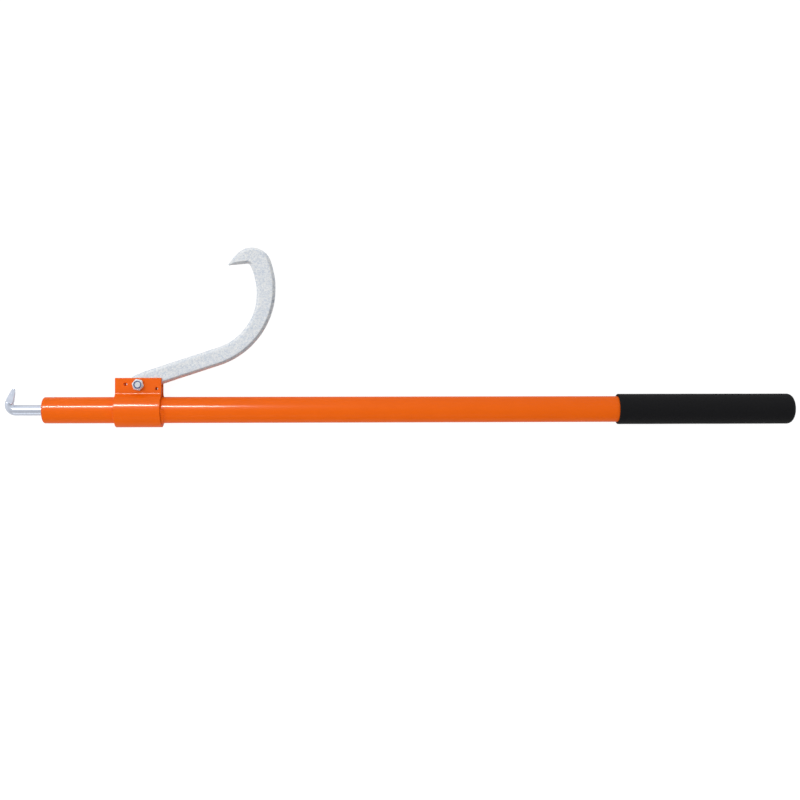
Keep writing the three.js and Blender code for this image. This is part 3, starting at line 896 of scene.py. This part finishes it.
def clevis_strip():
    across, up, heading, shrink = clevis_path().T[..., None]
    middle = (clevis_start + clevis_end) / 2
    half_length, half_thick = (clevis_end - clevis_start) / 2, strip / 2
    spread = np.linspace(-1, 1, 15)
    outline = np.array([(s * half_length, -half_thick) for s in spread]
                       + [(s * half_length, half_thick) for s in spread[::-1]])
    radii = np.zeros(len(outline))
    radii[[0, 14, 15, 29]] = edge_round
    section = soften(outline, radii, steps=5)
    along = middle + section[:, 0] * (1 - shrink / half_length)
    out = section[:, 1] * (1 - shrink / half_thick)
    grid = np.stack([along, up + out * np.cos(heading), across - out * np.sin(heading)], axis=-1)
    piece = skin("clevis_strip", grid)
    reach = half_gap + strip
    cutters = []
    for x, y, radius in [(*pivot[:2], bolt_hole), *pin_holes]:
        flared = radius + 1.5
        profile = [(-reach - 1, flared), (-reach + 0.5, radius), (reach - 0.5, radius), (reach + 1, flared)]
        cutters.append(standing(turned(profile, sides=64), x, y))
    drill(piece, cutters)
    finish_piece(piece, "clevis_bracket", "orange_paint", orange_paint)


clevis_strip()

# %% [markdown]
# ## The swinging hook
# The big hook is a flat bar, forged to a curve and drawn to a point. Its outline is two lines
# that run from the eye to the tip: the convex back and the concave belly. Both are built from
# arcs, and each station pairs a point of one with a point of the other. The bar's section
# spans that pair: an eight-sided shape, a flat with four bevelled edges, that thins to the tip.

# %% The hook's two outlines
eye_radius, back_offset, belly_offset = 16.2, 9.4, 17.2
arm_to_back, back_radius = 124.8, 123.7
arm_to_belly, belly_radius, belly_turn = 130.6, 86.0, 71.8
upper_radius, upper_turn = 106.0, 24.0
throat_radius, underside_angle = 6.0, 167.4
crown_radius, crown_rise, crown_turn = 30.0, 3.4, 97.0
brow_length, tip_cut, tip_width, tip_thickness = 12.4, 0.6, 1.6, 2.4
hook_tip = np.array([185.3, 132.8])
hook_rest_angle = np.radians(18.25)
bar_thickness, bevel_width, bevel_depth, thinning = 9.8, 4.1, 2.8, 1.5


def on_circle(centre, radius, degrees):
    """Points on a circle, at angles in degrees."""
    turn = np.radians(np.asarray(degrees, float))
    return np.asarray(centre) + radius * np.stack([np.cos(turn), np.sin(turn)], axis=-1)


def between(start, end, share):
    """Points on the straight from start to end, at shares of the way."""
    return np.asarray(start) + np.asarray(share)[..., None] * (np.asarray(end) - np.asarray(start))


def hook_outlines():
    """Back and belly points from the eye to the tip, and each pair's share of the way along the point."""
    turn = np.linspace(0, np.pi / 2, 30)[1:]
    left, half = -np.cos(turn) * eye_radius, np.sin(turn) * eye_radius
    back, belly = [np.stack([left, -half], axis=-1)], [np.stack([left, half], axis=-1)]

    share = np.linspace(0, 1, 12)[1:]
    x = share * np.sqrt(eye_radius ** 2 - back_offset ** 2)
    back.append(np.stack([x, -np.sqrt(eye_radius ** 2 - x ** 2)], axis=-1))
    belly.append(np.stack([x, eye_radius + (belly_offset - eye_radius) * share], axis=-1))

    share = np.linspace(0, 1, 60)[1:-1]
    back.append(between(back[-1][-1], (arm_to_back, -back_offset), share))
    belly.append(between(belly[-1][-1], (arm_to_belly, belly_offset), share))

    share = np.linspace(0, 1, 110)
    back_centre = np.array([arm_to_back, back_radius - back_offset])
    belly_centre = np.array([arm_to_belly, belly_radius + belly_offset])
    upper_centre = on_circle(belly_centre, belly_radius - upper_radius, belly_turn - 90)
    turned_by = (belly_turn + upper_turn) * share
    lower = on_circle(belly_centre, belly_radius, turned_by - 90)
    upper = on_circle(upper_centre, upper_radius, turned_by - 90)
    back.append(on_circle(back_centre, back_radius, 90 * share - 90))
    belly.append(np.where(turned_by[:, None] <= belly_turn, lower, upper))

    share = np.linspace(0, 1, 50)[1:]
    crown_centre = back_centre + [back_radius - crown_radius, crown_rise]
    throat_start = belly_turn + upper_turn - 90
    throat_top = on_circle(upper_centre, upper_radius, throat_start)
    throat_centre = on_circle(throat_top, -throat_radius, throat_start)
    back.append(on_circle(crown_centre, crown_radius, crown_turn * share))
    belly.append(on_circle(throat_centre, throat_radius,
                           throat_start + (underside_angle - 90 - throat_start) * share))
    before_point = sum(len(part) for part in back)

    share = np.linspace(0, 1, 44)[1:]
    crown_end, throat_end = back[-1][-1], belly[-1][-1]
    control = on_circle(crown_end, brow_length, crown_turn + 90)
    t = share[:, None]
    back.append((1 - t) ** 2 * crown_end + 2 * t * (1 - t) * control + t ** 2 * hook_tip)
    belly.append(between(throat_end, hook_tip + [tip_cut, -tip_width], share))
    to_tip = np.concatenate([np.zeros(before_point), share])
    return np.concatenate(back), np.concatenate(belly), to_tip


back_line, belly_line, to_tip = hook_outlines()
print("hook stations:", len(to_tip), "from eye to tip")

# %% [markdown]
# The section is written as corners and softened, then the whole bar gets a forging's slight
# unevenness, is turned to its rest angle, and its eye is drilled for the bolt.

# %% The hook's section and skin
def forged_hook():
    across = belly_line - back_line
    width = np.linalg.norm(across, axis=1, keepdims=True)
    inset = across * np.minimum(bevel_width, 0.3 * width) / width
    half = (bar_thickness + (tip_thickness - bar_thickness) * to_tip ** thinning)[:, None] / 2
    rim = half * (1 - 2 * bevel_depth / bar_thickness)
    flats = [between(back_line + inset, belly_line - inset, np.full(len(width), s))
             for s in np.linspace(0, 1, 7)]
    front = [np.hstack([p, half]) for p in flats]
    rear = [np.hstack([p, -half]) for p in flats]
    corners = [np.hstack([back_line, rim]), np.hstack([back_line, -rim]), *rear,
               np.hstack([belly_line, -rim]), np.hstack([belly_line, rim]), *front[::-1]]
    radii = np.full(len(corners), 0.0)
    radii[[0, 1, 2, 8, 9, 10, 11, 17]] = 0.5
    grid = soften(np.stack(corners, axis=1), radii, steps=4)
    grid = roughen(grid, 0.16, 30, seed=11)
    grid = roughen(grid, 0.05, 7, seed=12)
    c, s = np.cos(hook_rest_angle), np.sin(hook_rest_angle)
    x, y, z = np.moveaxis(grid, -1, 0)
    grid = np.stack([pivot[0] + c * x - s * y, pivot[1] + s * x + c * y, z], axis=-1)
    piece = skin("forged_hook", grid)
    eye = [(-8, 6.8), (-4.4, 5.3), (4.4, 5.3), (8, 6.8)]
    drill(piece, [standing(turned(eye, sides=96), *pivot[:2])])
    finish_piece(piece, "swing_hook", "zinc_forging", forged_zinc, crease=50)


forged_hook()

# %% [markdown]
# ## Pivot bolt, lock nut and nylon ring
# The hook swings on an M10 bolt. Its head and the nut are hexagons whose corners are turned off
# by a shallow cone, so each row's radius is the smaller of hexagon and cone. The thread is a
# ramp that climbs one pitch per turn: the radius depends on the height less the angle.

# %% Bolt
seat = half_gap + strip + fit_gap
across_flats = 16.0
hex_corner = across_flats / np.sqrt(3) - 0.25
cone_start = across_flats / 2 - 0.3
cone_slope = np.tan(np.radians(30))
hex_turn = np.radians(12)
bolt_radius, thread_pitch, thread_depth = 5.0, 1.5, 0.75


def hex_rows(base, top, sides, turn, cone_at_base=False):
    """Rows of a hexagon from base to top, each the smaller of the hexagon and its end cones."""
    angle = full_turn(sides)
    flats = hexagon(angle + turn, across_flats, hex_corner)
    depth = (hex_corner - cone_start) * cone_slope
    sign = np.sign(top - base)
    cone = [(sign * depth * s, np.minimum(flats, cone_start + (hex_corner - cone_start) * s))
            for s in np.linspace(0, 1, 8)]
    start = [(base + step, radius) for step, radius in cone]
    if not cone_at_base:
        start = [(base, flats - 0.15), (base + sign * 0.15, flats)]
    return start + [(top - step, radius) for step, radius in cone[::-1]]


def pivot_bolt():
    low, high = span("pivot_bolt")
    sides = 144
    angle = full_turn(sides)
    rows = [(low[2] + 0.05, 1.5), (low[2], 4.0), *hex_rows(-seat, low[2], sides, 0.0)[::-1], (-seat, 6.0)]
    chamfer = 1.1
    rows += [(-seat + 0.4, bolt_radius + 0.1), (-seat + 0.8, bolt_radius), (seat - 0.6, bolt_radius)]
    for height in np.arange(seat, high[2] + 1e-6, 0.1):
        climb = np.abs(np.mod(height / thread_pitch - angle / (2 * np.pi), 1.0) - 0.5) * 2
        thread = bolt_radius - thread_depth * np.clip(1.25 * climb - 0.125, 0, 1)
        cap = bolt_radius - chamfer + (high[2] - height)
        rows.append((height, np.minimum(thread, cap)))
    rows.append((high[2], 2.6))
    rows.append((high[2] - 0.12, 1.2))
    piece = skin("hook_bolt", standing(turned(rows, sides), *pivot[:2]))
    finish_piece(piece, "pivot_bolt", "zinc_fastener", fastener_zinc, crease=28)


pivot_bolt()


# %% [markdown]
# The lock nut's body is a hexagon with a round crown. The crown's rim is rolled over the nylon
# ring and leaves it showing round the bolt's end.

# %% Nut and ring
def lock_nut():
    sides = 144
    top = span("pivot_nut")[1][2]
    body_top, crown, groove, bore = seat + 7.2, 7.2, 6.6, 5.3
    lip_open, ring_top = 5.95, top - 0.9
    rows = [(seat + 0.6, bore), (seat, bore + 0.6), (seat, cone_start - 0.6)]
    rows += hex_rows(seat, body_top, sides, hex_turn, cone_at_base=True)
    rows += [(body_top, crown + 0.35), (body_top + 0.15, crown + 0.12), (body_top + 0.5, crown)]
    turn = np.linspace(0, np.pi / 2, 8)
    rim = 1.0
    rows += [(top - rim + rim * np.sin(t), crown - rim + rim * np.cos(t)) for t in turn]
    rows += [(top - 0.12, lip_open + 0.1), (top - 0.3, lip_open), (ring_top + 0.15, lip_open + 0.1),
             (ring_top + 0.1, groove), (ring_top - 2.7, groove), (ring_top - 2.7, bore)]
    piece = skin("lock_nut", standing(turned(rows, sides), *pivot[:2]), looped=True)
    finish_piece(piece, "pivot_nut", "zinc_fastener", fastener_zinc, crease=28)

    inner, outer, height = bolt_radius + 0.03, 6.3, 2.4
    squeezed = bolt_radius - 0.25
    section = [(ring_top - height, inner), (ring_top - height, outer), (ring_top, outer),
            (ring_top + 0.35, squeezed), (ring_top - 0.1, inner)]
    nylon = skin("nylon_ring", standing(turned(soften(section, 0.2), sides), *pivot[:2]), looped=True)
    finish_piece(nylon, "pivot_nut_insert", "blue_nylon", blue_nylon)


lock_nut()

# %% [markdown]
# ## The grip and the cup in the tube's end
# The grip is a closed sleeve of foam rubber pushed on over the tube. It is a turned shape with
# a small rolled lip at its mouth and a full round at its closed end, and its skin swells
# slightly, as foam does over a hard tube. A plastic cup closes the tube under it.

# %% Grip and cup
def foam_grip():
    grip_start, grip_end = span("grip_sleeve")[0][0], span("grip_sleeve")[1][0]
    radius = span("grip_sleeve")[1][1]
    bore, bore_end = tube_radius + fit_gap, span("tube_end_plug")[1][0] + fit_gap
    lip, corner_radius, corner_turn, crown = 1.5, 9.5, np.radians(78), 4.0
    deep = grip_start + 6
    mouth = soften([(deep, bore), (grip_start, bore), (grip_start, radius), (deep, radius)],
                   [0, 0.6, lip, 0], steps=6, closed=False)
    side = [(x, radius) for x in np.arange(grip_start + 9, grip_end - crown - corner_radius, 3.0)]
    turn = np.linspace(0, corner_turn, 16)
    corner = [(grip_end - crown - corner_radius * (1 - np.sin(t)), radius - corner_radius * (1 - np.cos(t)))
              for t in turn]
    rim_x, rim_radius = corner[-1]
    share = np.linspace(0, 1, 16)[1:-1]
    dome = [(rim_x + (grip_end - rim_x) * np.sin(np.pi / 2 * s), rim_radius * (1 - s)) for s in share]
    profile = [(bore_end, 0.5), (bore_end, bore), *mouth, *side, *corner, *dome, (grip_end, 0.5)]
    grid = turned(profile, sides=144)
    outside = slice(2 + len(mouth), None)
    grid[outside] = roughen(grid[outside], 0.06, 60, seed=21)
    piece = skin("foam_grip", grid)
    finish_piece(piece, "grip_sleeve", "black_rubber", foam_rubber)


def end_cup():
    low, high = span("tube_end_plug")
    face, outer, thick = tube_end + fit_gap, tube_bore - fit_gap, 3.0
    corners = [(low[0], outer - thick), (low[0], outer), (face, outer), (face, tube_radius),
               (high[0], tube_radius), (high[0], 1.0)]
    shell = soften(corners, [0.5, 0.8, 0, 0.5, 0.5, 0], closed=False)
    profile = [(face, 0.8), (face, outer - thick), *shell]
    piece = skin("end_cup", turned(profile))
    finish_piece(piece, "tube_end_plug", "black_plastic", black_moulding)


foam_grip()
end_cup()
